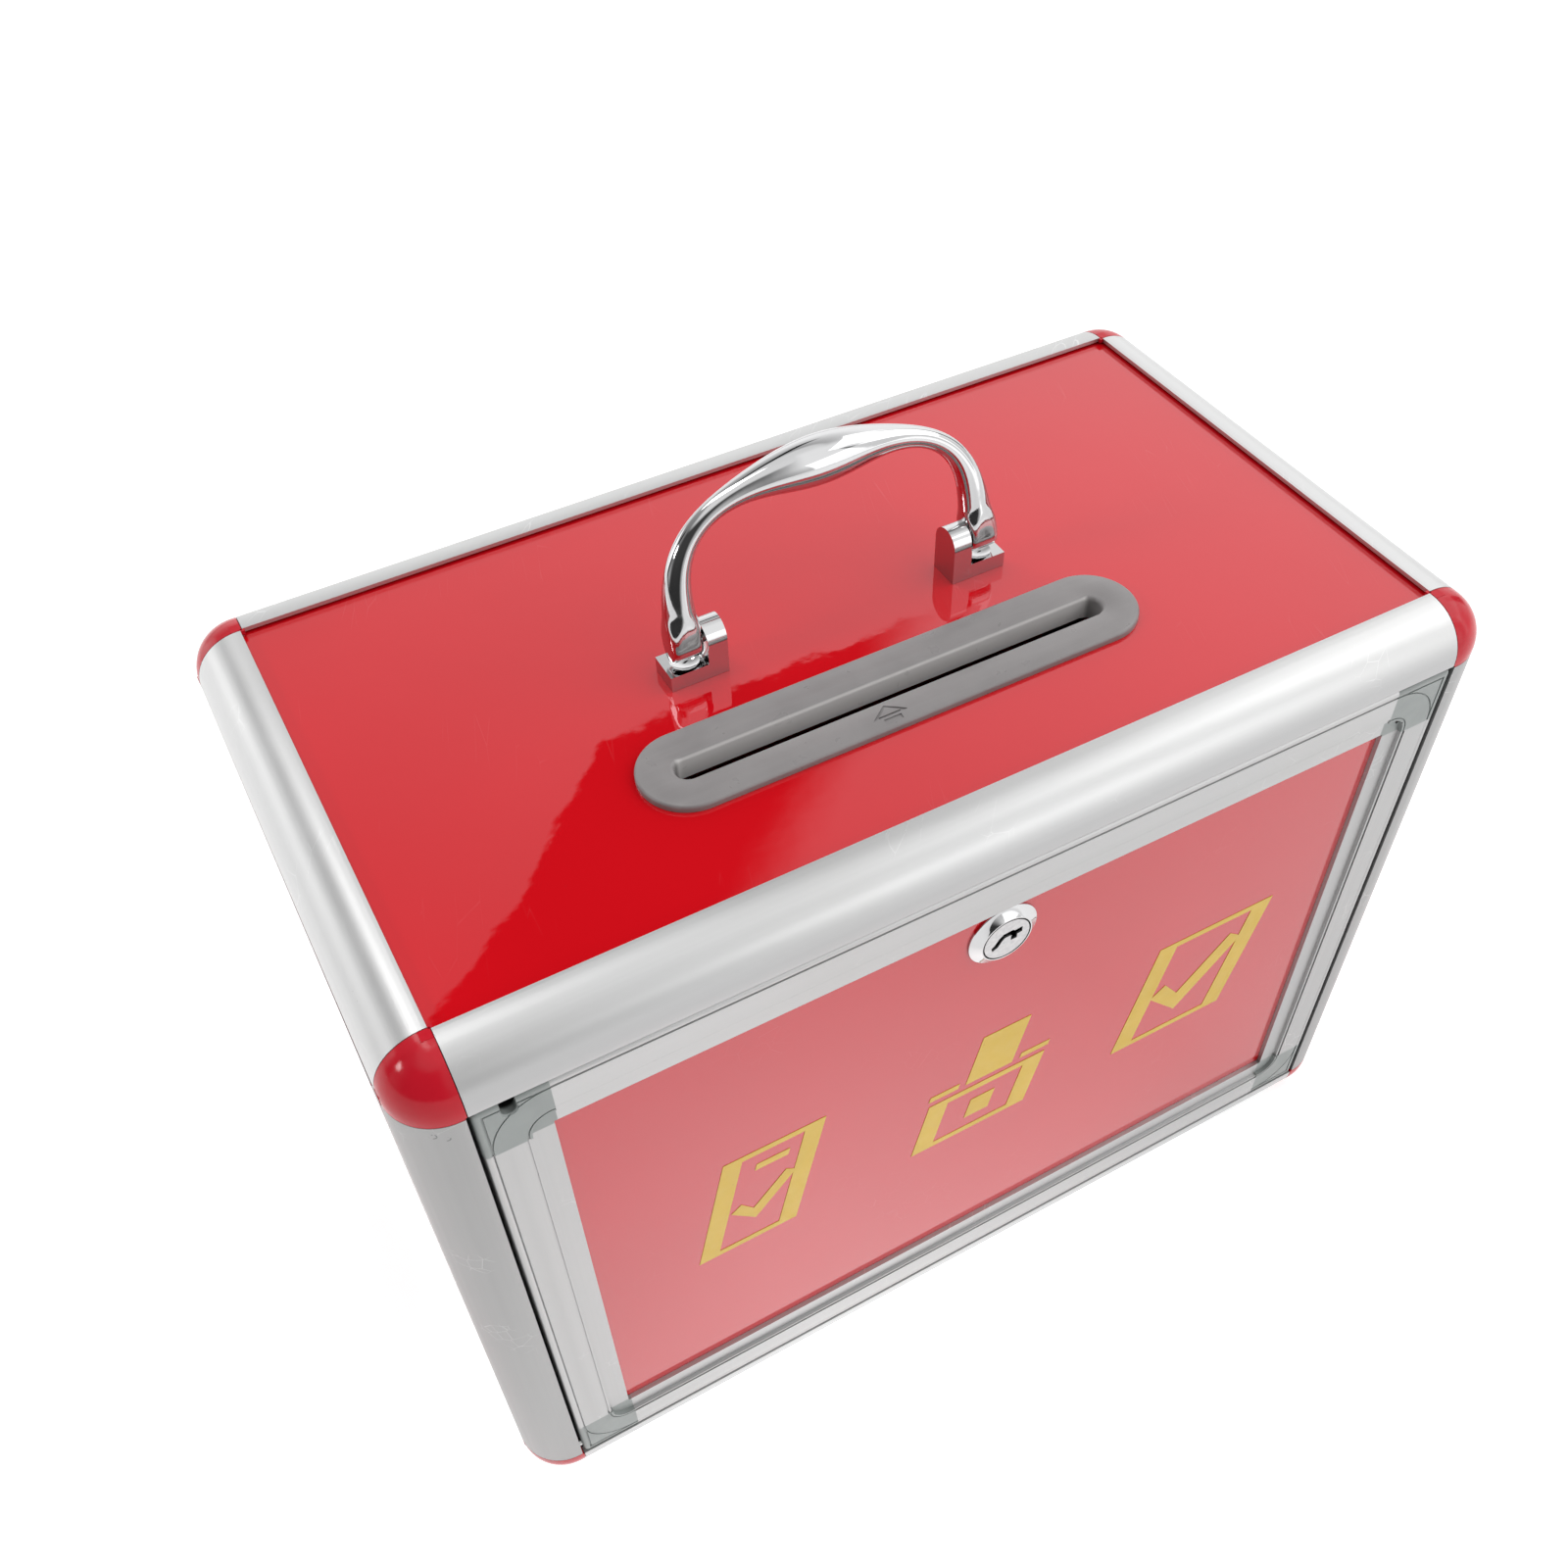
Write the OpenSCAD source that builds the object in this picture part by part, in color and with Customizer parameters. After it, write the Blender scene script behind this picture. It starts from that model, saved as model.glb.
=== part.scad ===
// Carry-type ballot box: aluminium-edged case with red panels, a framed
// door hinged along its lower edge, a cam lock, a slot bezel in the top
// and a swinging bail handle.
// Origin: centre of the footprint, on the resting plane. +X right along
// the door side, the door faces -Y, +Z up. Millimetres.

/* [Case] */
// width of the case over the edge extrusions
case_w = 360; // [300:1:420]
// depth of the case over the edge extrusions
case_d = 204; // [170:1:260]
// height of the case over the edge extrusions
case_h = 265; // [220:1:320]
// size of the quarter-round edge extrusions
rail_r = 17; // [15:0.5:20]
// width of the narrow flats beside the quarter round
rail_flat = 1; // [0.5:0.1:2]
// length of each straight shoulder of the plastic corner caps
cap_ext = 0.5; // [0.5:0.5:3]
// visible seam between a corner cap and an extrusion
cap_seam = 0.25; // [0.1:0.05:0.4]
// thickness of the case panels
panel_t = 3; // [2:0.5:3]
// depth of a panel face below the outside of the extrusions
panel_sink = 2.2; // [1.6:0.1:2.6]
// depth a panel goes into the extrusion slots
panel_in = 4.1; // [3:0.1:4.2]

/* [Door] */
// side gap between the door and the posts
gap_side = 1.1; // [0.5:0.1:1.5]
// gap above and below the door
gap_end = 0.8; // [0.6:0.1:1.5]
// width of the door frame extrusion
frame_w = 20; // [16:0.5:26]
// thickness of the door frame extrusion
frame_t = 11.8; // [10:0.1:12]
// leg length of the square corner connectors
corner_w = 21; // [19:0.5:26]
// thickness of the door panel
door_panel_t = 3; // [2:0.5:3]
// hinge pin diameter
hinge_d = 2.5; // [2:0.1:3]
// distance of the hinge axis behind the door face
hinge_in = 3.0; // [2.5:0.1:4]
// distance of the hinge axis above the lower edge of the door
hinge_up = 3.2; // [2.8:0.1:4]

/* [Ballot slot] */
// clear width of the ballot slot
slot_w = 8; // [6:0.5:12]
// clear length of the ballot slot
slot_l = 145.5; // [100:0.5:200]
// width of the slot bezel
bezel_w = 30.7; // [24:0.1:40]
// height of the bezel crown above the top panel
bezel_t = 2.7; // [2:0.1:4]
// distance of the slot from the middle of the case, toward the door
slot_y = 37.2; // [25:0.1:60]

/* [Handle] */
// distance between the handle leg centrelines
handle_w = 103; // [80:1:140]
// height of the grip centreline above the pivot
handle_h = 40.8; // [30:0.1:60]
// bend radius of the handle shoulders
handle_bend = 29; // [15:1:35]
// grip diameter in the middle
grip_d = 14.6; // [8:0.2:18]
// handle diameter at the shoulders
shoulder_d = 6.8; // [5:0.2:10]
// handle diameter just above the pivots
leg_d = 10; // [8:0.2:12]
// pivot height above the top panel
pivot_h = 12.3; // [10:0.1:16]
// diameter of the pivot pins
pivot_d = 4; // [3:0.5:5]
// lean of the handle from upright, toward the back
handle_lean = 14; // [0:1:30]

/* [Lock] */
// outside diameter of the lock bezel
lock_d = 24; // [20:0.5:28]
// diameter of the turning plug
plug_d = 16; // [12:0.5:17]
// height of the lock axis above the resting plane
lock_z = 214.4; // [190:0.1:230]
// reach of the locking cam from the lock axis
cam_reach = 40; // [34:1:44]

/* [Output] */
// part to draw

/* [Hidden] */
R = rail_r;
Rq = rail_r - rail_flat;        // radius of the quarter round
ox = case_w / 2 - R;            // half width of the openings
oy = case_d / 2 - R;            // half depth of the openings
oz0 = R;                        // lower edge of the openings
oz1 = case_h - R;               // upper edge of the openings
zc = case_h / 2;
yf = -case_d / 2;               // plane of the door face
ch0 = 1.3;                      // chamber of an extrusion, from
ch1 = 10.4;                     // ... to
sl0 = R - panel_sink - panel_t - 0.1;   // slot floor
sl1 = R - 1.4;                  // underside of the outer lip
top_z = case_h - panel_sink;    // outer face of the top panel
dx = ox - gap_side;             // half width of the door
dz0 = oz0 + gap_end;            // door lower edge
dz1 = oz1 - gap_end;            // door upper edge
hy = yf + hinge_in;             // hinge axis
hz = dz0 + hinge_up;
pv0 = 3.15;                     // door panel face below the door face
py0 = yf + pv0;
piv_z = top_z + pivot_h;
leg_x = handle_w / 2;
ear_x0 = 39.5;
ear_x1 = 46.0;
foot_x1 = 58.5;
mnt_y = 5.5;
low_h = 5.4;
lip = bezel_w / 2;

// ---- edge extrusions ------------------------------------------------

// Section of an edge extrusion in its own corner frame: the quarter round
// runs from +x to +y. flat_a: slot for the panel that lies across y,
// flat_b: slot for the panel that lies across x.
module rail2d(flat_a, flat_b) {
  difference() {
    quarter();
    translate([ch0, ch0]) square([ch1 - ch0, ch1 - ch0]);
    if (flat_a) translate([-1, sl0]) square([1 + panel_in + 0.4, sl1 - sl0]);
    if (flat_b) translate([sl0, -1]) square([sl1 - sl0, 1 + panel_in + 0.4]);
  }
}

module x_rail(len, fa, fb)  // runs along X, quarter round toward -Y and +Z
  rotate([90, 0, -90]) linear_extrude(len, center = true) rail2d(fa, fb);

module y_rail(len)          // runs along Y, quarter round toward -X and +Z
  rotate([90, 0, 180]) linear_extrude(len, center = true) rail2d(true, true);

module rail_top_front() color("silver") {
  translate([0, -oy, oz1]) x_rail(2 * (ox - cap_ext - cap_seam), true, false);
  // stop rib behind the upper edge of the door
  translate([-ox + 8, -oy - 4, oz1 - 3]) cube([2 * ox - 16, 1.2, 3.5]);
}
module rail_top_back() color("silver")
  mirror([0, 1, 0]) translate([0, -oy, oz1]) x_rail(2 * (ox - cap_ext - cap_seam), true, true);
module rail_top_left() color("silver")
  translate([-ox, 0, oz1]) y_rail(2 * (oy - cap_ext - cap_seam));
module rail_top_right() color("silver")
  mirror([1, 0, 0]) translate([-ox, 0, oz1]) y_rail(2 * (oy - cap_ext - cap_seam));

module rail_bottom_front() color("silver")
  translate([0, -oy, oz0]) mirror([0, 0, 1]) x_rail(2 * (ox - cap_ext - cap_seam), true, false);
module rail_bottom_back() color("silver")
  mirror([0, 1, 0]) translate([0, -oy, oz0]) mirror([0, 0, 1]) x_rail(2 * (ox - cap_ext - cap_seam), true, true);
module rail_bottom_left() color("silver")
  translate([-ox, 0, oz0]) mirror([0, 0, 1]) y_rail(2 * (oy - cap_ext - cap_seam));
module rail_bottom_right() color("silver")
  mirror([1, 0, 0]) translate([-ox, 0, oz0]) mirror([0, 0, 1]) y_rail(2 * (oy - cap_ext - cap_seam));

post_len = case_h - 2 * R - 2 * (cap_ext + cap_seam);

module front_post() {       // left one
  difference() {
    union() {
      translate([-ox, -oy, zc]) rotate([0, 0, 180])
        linear_extrude(post_len, center = true) rail2d(false, true);
      // stop rib behind the side edge of the door
      translate([-ox - 0.5, -oy - 4, zc - post_len / 2]) cube([3.5, 1.2, post_len]);
    }
    // hinge bore
    translate([-ox - 5, hy, hz]) rotate([0, 90, 0])
      cylinder(r = hinge_d / 2 + 0.05, h = 6, $fn = 48);
  }
}
module post_front_left() color("silver") front_post();
module post_front_right() color("silver") mirror([1, 0, 0]) front_post();
module back_post()
  translate([-ox, oy, zc]) mirror([0, 1, 0]) rotate([0, 0, 180])
    linear_extrude(post_len, center = true) rail2d(true, true);
module post_back_left() color("silver") back_post();
module post_back_right() color("silver") mirror([1, 0, 0]) back_post();

// ---- corner caps ----------------------------------------------------

// Cap in its own corner frame, outer octant toward +x +y +z. tab_y draws
// the small closing tab on the face that looks along y.
module cap(tab_y) {
  arm = 14;
  t = 2.8;
  translate([rail_flat, rail_flat, rail_flat]) intersection() {
    sphere(r = Rq, $fn = 96);
    cube([R, R, R]);
  }
  // shoulders in line with the three extrusions
  translate([-cap_ext, 0, 0]) rotate([90, 0, 90]) shoulder();
  translate([0, rail_flat, 0]) rotate([90, 0, 0]) shoulder();
  translate([0, 0, -cap_ext]) shoulder();
  // plugs
  translate([-cap_ext - arm, ch0 + 0.2, ch0 + 0.2]) cube([cap_ext + arm + 1, ch1 - ch0 - 0.4, ch1 - ch0 - 0.4]);
  translate([ch0 + 0.2, -cap_ext - arm, ch0 + 0.2]) cube([ch1 - ch0 - 0.4, cap_ext + arm + 1, ch1 - ch0 - 0.4]);
  translate([ch0 + 0.2, ch0 + 0.2, -cap_ext - arm]) cube([ch1 - ch0 - 0.4, ch1 - ch0 - 0.4, cap_ext + arm + 1]);
  // closing tabs
  difference() {
    union() {
      translate([-cap_ext, -cap_ext, R - 1.4]) cube([cap_ext + t, cap_ext + t, 1.4]);
      translate([-cap_ext - 0.8, -cap_ext - 0.8, R - 1.4]) cube([cap_ext + 0.7, cap_ext + 0.7, 1.4]);
    }
    translate([-cap_ext - 0.15, -cap_ext - 0.15, R - 0.5]) cube([cap_ext + 0.65, cap_ext + 0.65, 1]);
  }
  translate([R - 1.4, -cap_ext, -cap_ext]) cube([1.4, cap_ext + t, cap_ext + t]);
  if (tab_y) translate([-cap_ext, R - 1.4, -cap_ext]) cube([cap_ext + t, 1.4, cap_ext + t]);
}
module quarter() {
  translate([rail_flat, rail_flat]) intersection() {
    circle(r = Rq, $fn = 128);
    square([R, R]);
  }
  square([rail_flat, R]);
  square([R, rail_flat]);
}
module shoulder() linear_extrude(cap_ext + rail_flat) quarter();

module place_cap(sx, sy, sz)
  translate([sx * ox, sy * oy, sz > 0 ? oz1 : oz0])
    mirror([sx < 0 ? 1 : 0, 0, 0]) mirror([0, sy < 0 ? 1 : 0, 0]) mirror([0, 0, sz < 0 ? 1 : 0])
      cap(sy > 0);

module cap_top_front_left() color("crimson") place_cap(-1, -1, 1);
module cap_top_front_right() color("crimson") place_cap(1, -1, 1);
module cap_top_back_left() color("crimson") place_cap(-1, 1, 1);
module cap_top_back_right() color("crimson") place_cap(1, 1, 1);
module cap_bottom_front_left() color("crimson") place_cap(-1, -1, -1);
module cap_bottom_front_right() color("crimson") place_cap(1, -1, -1);
module cap_bottom_back_left() color("crimson") place_cap(-1, 1, -1);
module cap_bottom_back_right() color("crimson") place_cap(1, 1, -1);

// ---- panels ---------------------------------------------------------

// Panel blank in x-y, half sizes a and b at the openings, notched corners.
module blank(a, b, t) {
  n = panel_in + cap_ext + 0.15;
  difference() {
    translate([-a - panel_in, -b - panel_in, 0]) cube([2 * (a + panel_in), 2 * (b + panel_in), t]);
    for (i = [-1, 1]) for (j = [-1, 1])
      translate([i * (a + panel_in) - (i > 0 ? n : 0) - (i < 0 ? 1 : 0), j * (b + panel_in) - (j > 0 ? n : 0) - (j < 0 ? 1 : 0), -1])
        cube([n + 1, n + 1, t + 2]);
  }
}

module stadium(r, l, h) {   // full length l along x, radius r
  translate([-l / 2 + r, 0, 0]) cylinder(r = r, h = h, $fn = 96);
  translate([l / 2 - r, 0, 0]) cylinder(r = r, h = h, $fn = 96);
  translate([-l / 2 + r, -r, 0]) cube([l - 2 * r, 2 * r, h]);
}

neck_w = 1.6;                   // wall of the bezel's neck
module top_panel() color("red") difference() {
  translate([0, 0, top_z - panel_t]) blank(ox, oy, panel_t);
  translate([0, -slot_y, top_z - panel_t - 1])
    stadium(slot_w / 2 + neck_w + 0.15, slot_l + 2 * neck_w + 0.3, panel_t + 2);
  for (s = [-1, 1]) {
    translate([s * 42.75, 0, top_z - panel_t - 1]) cylinder(d = 4.5, h = panel_t + 2, $fn = 48);
    translate([s * 54, 0, top_z - 1.6]) cylinder(d = 3.1, h = 2, $fn = 32);
  }
}
module bottom_panel() color("red") translate([0, 0, panel_sink]) blank(ox, oy, panel_t);
module side_panel()
  translate([-case_w / 2 + panel_sink, 0, zc]) rotate([0, 90, 0]) blank(zc - R, oy, panel_t);
module left_panel() color("red") side_panel();
module right_panel() color("red") mirror([1, 0, 0]) side_panel();
module back_panel() color("red")
  translate([0, case_d / 2 - panel_sink, zc]) rotate([90, 0, 0]) blank(ox, zc - R, panel_t);

// ---- slot bezel -----------------------------------------------------

// Section from the slot centreline outward: crowned flange with a rounded
// inner lip and outer edge, and the neck that goes through the panel.
lip_in = 1.6;
lip_out = 1.1;
module bezel2d() {
  xi = slot_w / 2 + lip_in;
  xo = lip - lip_out;
  xm = (xi + xo) / 2;
  intersection() {
    translate([xm, bezel_t - 24]) circle(r = 24, $fn = 256);
    translate([xi, 0.05]) square([xo - xi, bezel_t]);
  }
  h = bezel_t - 24 + sqrt(24 * 24 - (xm - xi) * (xm - xi));
  intersection() {
    translate([xi, h - lip_in]) circle(r = lip_in, $fn = 64);
    translate([0, 0.05]) square([lip, bezel_t]);
  }
  translate([slot_w / 2, -panel_t - 3]) square([lip_in, panel_t + 3 + h - lip_in]);
  translate([xo, h - lip_out]) circle(r = lip_out, $fn = 64);
  translate([xo - 0.5, 0.05]) square([lip_out + 0.5, h - lip_out - 0.05]);
}
module slot_bezel() color("gray") translate([0, -slot_y, top_z]) {
  l = slot_l - slot_w;
  difference() {
    union() {
      for (s = [0, 180]) rotate([0, 0, s]) {
        translate([l / 2, 0, 0]) rotate([0, 0, -90]) rotate_extrude(angle = 180, $fn = 128) bezel2d();
        translate([l / 2, 0, 0]) rotate([90, 0, -90]) linear_extrude(l) bezel2d();
        // snap ridges under the panel
        for (x = [-60, 30]) translate([x, slot_w / 2 + neck_w - 0.3, -panel_t - 1.6]) cube([30, 1.2, 1.3]);
      }
    }
    // insertion arrow, engraved
    translate([-9, -10.9, bezel_t - 0.5]) scale([1.25, 1.15, 1]) {
      linear_extrude(2) difference() {
        polygon([[-4.6, 0], [0, 3.9], [4.6, 0]]);
        polygon([[-2.9, 0.55], [0, 3.05], [2.9, 0.55]]);
      }
      translate([-2.3, -2.2, 0]) cube([4.6, 1.5, 2]);
    }
  }
}

// ---- handle and mounts ----------------------------------------------

module mount() translate([0, 0, top_z]) difference() {
  union() {
    // upright ear with rounded top
    translate([ear_x0, -mnt_y, 0.05]) cube([ear_x1 - ear_x0, 2 * mnt_y, pivot_h]);
    translate([ear_x0, 0, pivot_h]) rotate([0, 90, 0]) cylinder(r = mnt_y, h = ear_x1 - ear_x0, $fn = 96);
    // low seat under the leg
    translate([ear_x1 - 0.5, -mnt_y, 0.05]) cube([foot_x1 - ear_x1 + 0.5, 2 * mnt_y, low_h - 0.05]);
    // locating stud
    translate([54, 0, -1.3]) cylinder(d = 2.9, h = 2, $fn = 32);
  }
  // dish under the leg
  translate([leg_x, 0, low_h + 6.6]) sphere(r = 8, $fn = 96);
  // blind pivot bore
  translate([ear_x1 - 4.7, 0, pivot_h]) rotate([0, 90, 0]) cylinder(r = pivot_d / 2 + 0.05, h = 10, $fn = 64);
  // fixing screw hole
  translate([42.75, 0, -1]) cylinder(d = 4.04, h = 1 + 7.6, $fn = 48);
}
module handle_mount_right() color("lightgray") mount();
module handle_mount_left() color("lightgray") mirror([1, 0, 0]) mount();

module mount_screws() color("lightgray") for (s = [-1, 1]) translate([s * 42.75, 0, top_z]) {
  translate([0, 0, -panel_t - 1.1]) cylinder(d = 4, h = panel_t + 1.1 + 7.3, $fn = 48);
  difference() {
    translate([0, 0, -panel_t - 3.6]) cylinder(d = 7.6, h = 2.5, $fn = 64);
    translate([-3, -0.5, -panel_t - 4]) cube([6, 1, 1.6]);
    translate([-0.5, -3, -panel_t - 4]) cube([1, 6, 1.6]);
  }
}
module mount_washers() color("lightgray") for (s = [-1, 1]) translate([s * 42.75, 0, top_z - panel_t - 1.05])
  difference() {
    cylinder(d = 11, h = 1, $fn = 64);
    translate([0, 0, -1]) cylinder(d = 4.3, h = 3, $fn = 48);
  }

// Half of the grip outline: distance from the middle, radius.
grip_half = leg_x - handle_bend;
function smooth(t) = (1 + cos(180 * t)) / 2;
module grip() rotate([0, 90, 0]) rotate_extrude($fn = 96)
  polygon(concat([[0, -grip_half]],
    [for (i = [-12 : 12]) [shoulder_d / 2 + (grip_d - shoulder_d) / 2 * smooth(abs(i) / 12), i * grip_half / 12]],
    [[0, grip_half]]));
module leg() rotate_extrude($fn = 96)
  polygon(concat([[0, 0]],
    [for (i = [0 : 8]) [leg_d / 2 - (leg_d - shoulder_d) / 2 * (1 - smooth(i / 8)), i * (handle_h - handle_bend) / 8]],
    [[0, handle_h - handle_bend]]));
module handle_half() {
  translate([grip_half, 0, handle_h - handle_bend]) rotate([90, 0, 0])
    rotate_extrude(angle = 90, $fn = 192) translate([handle_bend, 0]) circle(d = shoulder_d, $fn = 64);
  difference() {
    union() {
      translate([leg_x, 0, 0]) leg();
      // pivot foot
      intersection() {
        translate([ear_x1 + 0.3, 0, 0]) rotate([0, 90, 0]) cylinder(r = 5.2, h = 10.2, $fn = 96);
        translate([leg_x, 0, -6]) cylinder(r = 5.9, h = 12, $fn = 96);
      }
    }
    // flat facets on the front and the back of the foot
    for (s = [-1, 1]) translate([leg_x, s * 8.4, 0]) rotate([s * -9, 0, 0]) cube([20, 8, 16], center = true);
    // flat inner face beside the ear
    translate([ear_x1 + 0.3 - 10, -10, -10]) cube([10, 20, 18]);
    // pin hole
    translate([ear_x1 - 1, 0, 0]) rotate([0, 90, 0]) cylinder(r = pivot_d / 2 + 0.02, h = 6.5, $fn = 64);
  }
}
module handle() color("lightgray")
  translate([0, 0, piv_z]) rotate([-handle_lean, 0, 0]) {
    translate([0, 0, handle_h]) grip();
    handle_half();
    mirror([1, 0, 0]) handle_half();
  }
module handle_pins() color("gray") for (s = [-1, 1])
  translate([s * (ear_x1 + 0.3), 0, piv_z]) rotate([0, 90, 0])
    cylinder(d = pivot_d, h = 9.6, center = true, $fn = 64);

// ---- door -----------------------------------------------------------

// Frame section: x from the outer edge inward, y depth behind the face.
module door2d() difference() {
  union() {
    translate([1.5, 1.5]) circle(r = 1.5, $fn = 48);
    polygon([[0, 1.5], [1.5, 1.5], [1.5, 0.55], [2.8, 0.55], [2.8, 0], [11.6, 0], [11.6, 0.7],
             [12.1, 0.7], [12.1, 0.3], [12.9, 0.3], [12.9, 1.5],
             [frame_w, 1.5], [frame_w, 3.1], [14, 3.1], [14, 6.2], [frame_w, 6.2], [frame_w, 7.4],
             [15.2, 7.4], [15.2, frame_t], [0, frame_t]]);
  }
  translate([1.4, 4]) square([11, 6.4]);
}
module door_stile() // left one
  translate([-dx, yf, (dz0 + dz1) / 2]) linear_extrude(dz1 - dz0 - 2 * corner_w, center = true) door2d();
module door_stile_left() color("silver") door_stile();
module door_stile_right() color("silver") mirror([1, 0, 0]) door_stile();
module door_rail_bottom() color("silver")
  translate([0, yf, dz0]) rotate([90, 0, 90]) linear_extrude(2 * (dx - corner_w), center = true)
    rotate([0, 0, 90]) mirror([0, 1]) door2d();
module door_rail_top() color("silver")
  translate([0, yf, dz1]) mirror([0, 0, 1]) rotate([90, 0, 90]) linear_extrude(2 * (dx - corner_w), center = true)
    rotate([0, 0, 90]) mirror([0, 1]) door2d();

// Corner connector in its own frame: outer corner at the origin, x and z
// run inward along the door edges, y goes behind the face.
module connector() {
  c = frame_w;
  a = 14;
  difference() {
    union() {
      translate([1.5, 0, 1.5]) cube([corner_w - 1.5, frame_t, corner_w - 1.5]);
      translate([0, 1.5, 0]) cube([corner_w, frame_t - 1.5, corner_w]);
      translate([1.5, 1.5, 1.5]) cylinder(r = 1.5, h = corner_w - 1.5, $fn = 48);
      translate([1.5, 1.5, 1.5]) rotate([0, 90, 0]) cylinder(r = 1.5, h = corner_w - 1.5, $fn = 48);
      translate([1.5, 1.5, 1.5]) sphere(r = 1.5, $fn = 48);
      // plugs into the frame extrusions
      translate([1.6, 4.2, corner_w - 1]) cube([10.6, 6, a + 1]);
      translate([corner_w - 1, 4.2, 1.6]) cube([a + 1, 6, 10.6]);
    }
    // sunk field inside the inner arc
    translate([c, 1.5, c]) rotate([90, 0, 0]) cylinder(r = c - 13.4, h = 5, $fn = 96);
    // engraved arcs
    for (r = [c - 2.6, c - 12.4]) translate([c, 0.4, c]) rotate([90, 0, 0]) difference() {
      cylinder(r = r + 0.25, h = 2, $fn = 128);
      translate([0, 0, -1]) cylinder(r = r - 0.25, h = 4, $fn = 128);
    }
    // groove beside the rounded outer edges, in line with the extrusions
    translate([2.15, -1, 2.15]) cube([0.65, 1.5, corner_w]);
    translate([2.15, -1, 2.15]) cube([corner_w, 1.5, 0.65]);
    // panel slot and clearance behind it
    translate([14, 3.1, 14]) cube([10, 3.1, 10]);
    translate([15.2, 7.4, 15.2]) cube([10, 10, 10]);
    translate([c, 1, c]) cube([5, 12, 5]);
  }
}
module low_connector() difference() {
  connector();
  translate([-1, hinge_in, hinge_up]) rotate([0, 90, 0]) cylinder(r = hinge_d / 2 + 0.01, h = 13, $fn = 48);
}
module door_corner_bottom_left() color("lightgray") translate([-dx, yf, dz0]) low_connector();
module door_corner_bottom_right() color("lightgray") mirror([1, 0, 0]) translate([-dx, yf, dz0]) low_connector();
module door_corner_top_left() color("lightgray") translate([-dx, yf, dz1]) mirror([0, 0, 1]) difference() {
  connector();
  // U notch through the upper edge, with a small chamfer
  translate([9.6, -1, 3.9]) rotate([-90, 0, 0]) cylinder(r = 2.2, h = frame_t + 2, $fn = 48);
  translate([9.6, -0.01, 3.9]) rotate([-90, 0, 0]) cylinder(r1 = 2.7, r2 = 2.2, h = 0.5, $fn = 48);
  translate([7.4, -1, -2]) cube([4.4, frame_t + 2, 5.9]);
}
module door_corner_top_right() color("lightgray") mirror([1, 0, 0]) translate([-dx, yf, dz1]) mirror([0, 0, 1]) difference() {
  connector();
  // small pit beside the inner arc
  translate([15, -1, 16.6]) rotate([-90, 0, 0]) cylinder(r = 0.9, h = 3.6, $fn = 32);
}
module door_hinge_pins() color("gray") for (s = [-1, 1])
  translate([s * (dx + 4.6 - 8), hy, hz]) rotate([0, 90, 0]) cylinder(d = hinge_d, h = 16, center = true, $fn = 48);

module door_panel() color("red") difference() {
  translate([-dx + 14.3, py0, dz0 + 14.3]) cube([2 * (dx - 14.3), door_panel_t - 0.02, dz1 - dz0 - 28.6]);
  translate([0, py0 - 1, lock_z]) rotate([-90, 0, 0]) cylinder(r = 9.6, h = 6, $fn = 96);
}

// Three plain vinyl pictograms: a marked slip, a slip over a box, a tick.
mark_z = 133;
mark_t = 0.15;
module tick2d(s) polygon([[-0.5 * s, 0.02 * s], [-0.33 * s, 0.16 * s], [-0.14 * s, -0.10 * s], [0.42 * s, 0.55 * s],
                          [0.58 * s, 0.42 * s], [-0.12 * s, -0.40 * s]]);
module mark_slip() {
  difference() {
    polygon([[-24, -27], [12, -27], [24, 27], [-12, 27]]);
    polygon([[-16.4, -24.4], [5.6, -24.4], [16.4, 24.4], [-5.6, 24.4]]);
  }
  translate([0, -5]) tick2d(22);
  polygon([[-1.6, 15.5], [10.2, 15.5], [11, 18.7], [-0.8, 18.7]]);
}
module mark_box() {
  difference() {
    polygon([[-28, -27], [18, -27], [24, 0], [-22, 0]]);
    polygon([[-19.4, -24.4], [10.6, -24.4], [15.4, -2.8], [-14.6, -2.8]]);
  }
  polygon([[-22.4, 3], [-11, 3], [-10.4, 5.6], [-21.8, 5.6]]);
  polygon([[13.5, 3], [25, 3], [25.6, 5.6], [14.1, 5.6]]);
  polygon([[-8, 3], [10.4, 3], [15.7, 27], [-2.7, 27]]);
  polygon([[-7.2, -18.6], [2.4, -18.6], [4.6, -8.6], [-5, -8.6]]);
}
module mark_tick() {
  difference() {
    polygon([[-30, -27], [18, -27], [30, 27], [-18, 27]]);
    polygon([[-21.4, -24.4], [10.6, -24.4], [21.4, 24.4], [-10.6, 24.4]]);
  }
  translate([0, -3]) tick2d(34);
}
module door_marks() color("gold") translate([0, py0, mark_z]) rotate([90, 0, 0]) linear_extrude(mark_t) {
  translate([-84, 0]) mark_slip();
  translate([1, 0]) mark_box();
  translate([87, 0]) mark_tick();
}

// ---- lock -----------------------------------------------------------

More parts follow.
